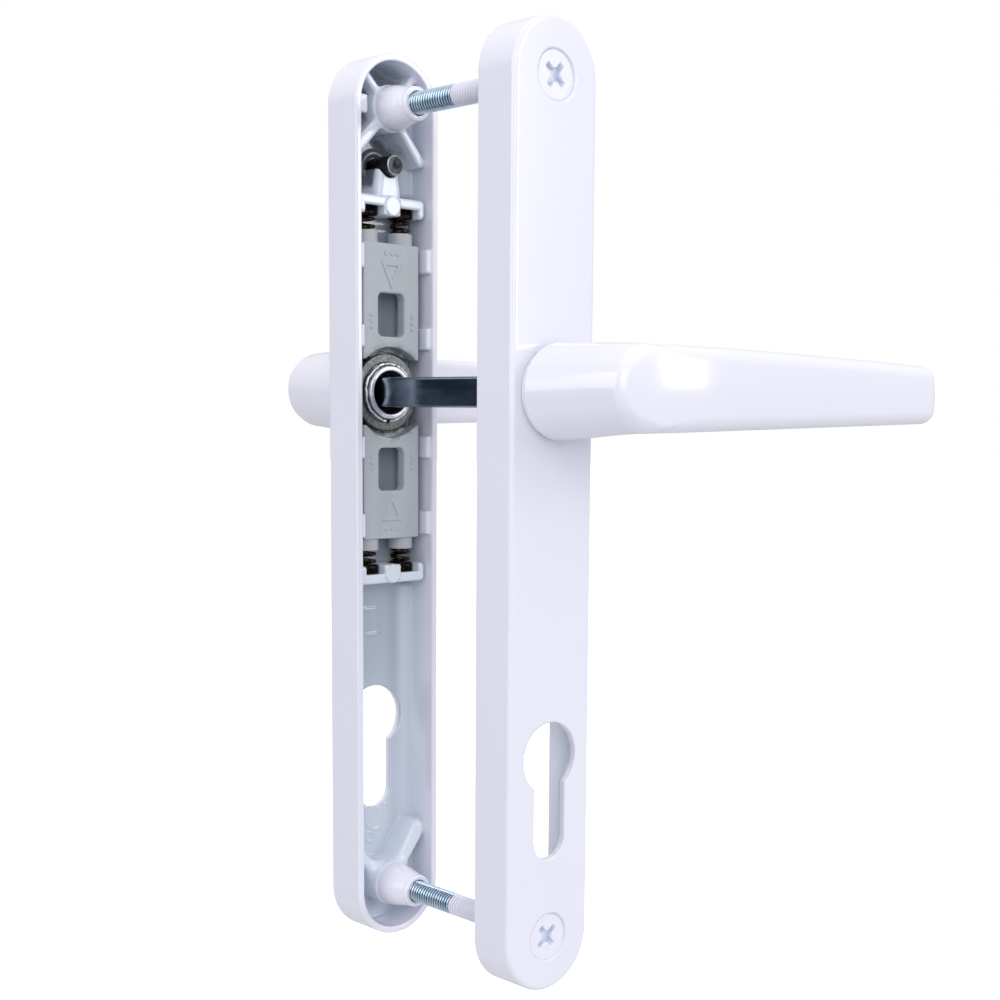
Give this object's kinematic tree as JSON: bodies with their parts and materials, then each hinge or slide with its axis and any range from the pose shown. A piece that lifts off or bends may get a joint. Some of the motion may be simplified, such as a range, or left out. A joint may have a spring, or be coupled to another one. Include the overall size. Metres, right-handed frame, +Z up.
{
  "type": "lever handle pair on backplates",
  "caption": "Sprung lever handles on long backplates with a euro profile cut-out, joined through the door by a square spindle and countersunk screws.",
  "frame": {"origin": "on the spindle's axis, in the middle of the door's thickness", "axes": "+X along the levers towards their tips, +Y through the door from the near side to the far side, +Z up along the backplates"},
  "size_m": [0.1385, 0.142, 0.243],
  "materials": {
    "powder_coat": "glossy white powder coat on a zinc casting",
    "nylon": "satin white nylon",
    "acetal": "moulded off-white acetal, satin",
    "spring_steel": "oiled dark brown spring wire",
    "sintered_steel": "dull dark grey sintered steel, greased",
    "ring_steel": "bright steel, rough from staking",
    "dark_steel": "oiled dark steel",
    "zinc_plate": "bright bluish zinc plate on steel"
  },
  "bodies": {
    "backplates": {"near_backplate": "powder_coat", "far_backplate": "powder_coat", "near_stud": "dark_steel", "far_stud": "dark_steel", "top_fixing_screw": "zinc_plate", "bottom_fixing_screw": "zinc_plate"},
    "bearing_bushes": {"near_bearing_bush": "nylon", "far_bearing_bush": "nylon"},
    "levers": {"near_lever": "powder_coat", "far_lever": "powder_coat", "spindle": "zinc_plate", "near_cam": "sintered_steel", "far_cam": "sintered_steel", "near_retaining_ring": "ring_steel", "far_retaining_ring": "ring_steel"},
    "near_upper_springs": {"near_upper_spring_1": "spring_steel", "near_upper_spring_2": "spring_steel"},
    "near_lower_springs": {"near_lower_spring_1": "spring_steel", "near_lower_spring_2": "spring_steel"},
    "far_upper_springs": {"far_upper_spring_1": "spring_steel", "far_upper_spring_2": "spring_steel"},
    "far_lower_springs": {"far_lower_spring_1": "spring_steel", "far_lower_spring_2": "spring_steel"},
    "near_upper_slider": {"near_upper_slider": "acetal"},
    "near_lower_slider": {"near_lower_slider": "acetal"},
    "far_upper_slider": {"far_upper_slider": "acetal"},
    "far_lower_slider": {"far_lower_slider": "acetal"}
  },
  "joints": [
    {"name": "lever_press", "type": "hinge", "parent": "backplates", "child": "bearing_bushes", "pos_m": [0, 0, 0], "axis": [0, 1, 0], "range_deg": [0, 40], "stiffness_Nm_per_rad": 1.2, "springref_deg": -28.65},
    {"name": "lever_lift", "type": "hinge", "parent": "bearing_bushes", "child": "levers", "pos_m": [0, 0, 0], "axis": [0, 1, 0], "range_deg": [-40, 0], "stiffness_Nm_per_rad": 1.2, "springref_deg": 28.65},
    {"name": "near_upper_press_slide", "type": "slide", "parent": "backplates", "child": "near_upper_springs", "axis": [0, 0, 1], "range_m": [0, 0.002], "deforming": ["near_upper_spring_1", "near_upper_spring_2"]},
    {"name": "near_upper_lift_slide", "type": "slide", "parent": "near_upper_springs", "child": "near_upper_slider", "axis": [0, 0, 1], "range_m": [0, 0.002]},
    {"name": "near_lower_press_slide", "type": "slide", "parent": "backplates", "child": "near_lower_springs", "axis": [0, 0, -1], "range_m": [0, 0.002], "deforming": ["near_lower_spring_1", "near_lower_spring_2"]},
    {"name": "near_lower_lift_slide", "type": "slide", "parent": "near_lower_springs", "child": "near_lower_slider", "axis": [0, 0, -1], "range_m": [0, 0.002]},
    {"name": "far_upper_press_slide", "type": "slide", "parent": "backplates", "child": "far_upper_springs", "axis": [0, 0, 1], "range_m": [0, 0.002], "deforming": ["far_upper_spring_1", "far_upper_spring_2"]},
    {"name": "far_upper_lift_slide", "type": "slide", "parent": "far_upper_springs", "child": "far_upper_slider", "axis": [0, 0, 1], "range_m": [0, 0.002]},
    {"name": "far_lower_press_slide", "type": "slide", "parent": "backplates", "child": "far_lower_springs", "axis": [0, 0, -1], "range_m": [0, 0.002], "deforming": ["far_lower_spring_1", "far_lower_spring_2"]},
    {"name": "far_lower_lift_slide", "type": "slide", "parent": "far_lower_springs", "child": "far_lower_slider", "axis": [0, 0, -1], "range_m": [0, 0.002]}
  ],
  "couplings": [
    {"joint": "near_upper_press_slide", "follows": "lever_press", "m_per_rad": 0.002864},
    {"joint": "near_upper_lift_slide", "follows": "lever_lift", "m_per_rad": -0.002864},
    {"joint": "near_lower_press_slide", "follows": "lever_press", "m_per_rad": 0.002864},
    {"joint": "near_lower_lift_slide", "follows": "lever_lift", "m_per_rad": -0.002864},
    {"joint": "far_upper_press_slide", "follows": "lever_press", "m_per_rad": 0.002864},
    {"joint": "far_upper_lift_slide", "follows": "lever_lift", "m_per_rad": -0.002864},
    {"joint": "far_lower_press_slide", "follows": "lever_press", "m_per_rad": 0.002864},
    {"joint": "far_lower_lift_slide", "follows": "lever_lift", "m_per_rad": -0.002864}
  ]
}
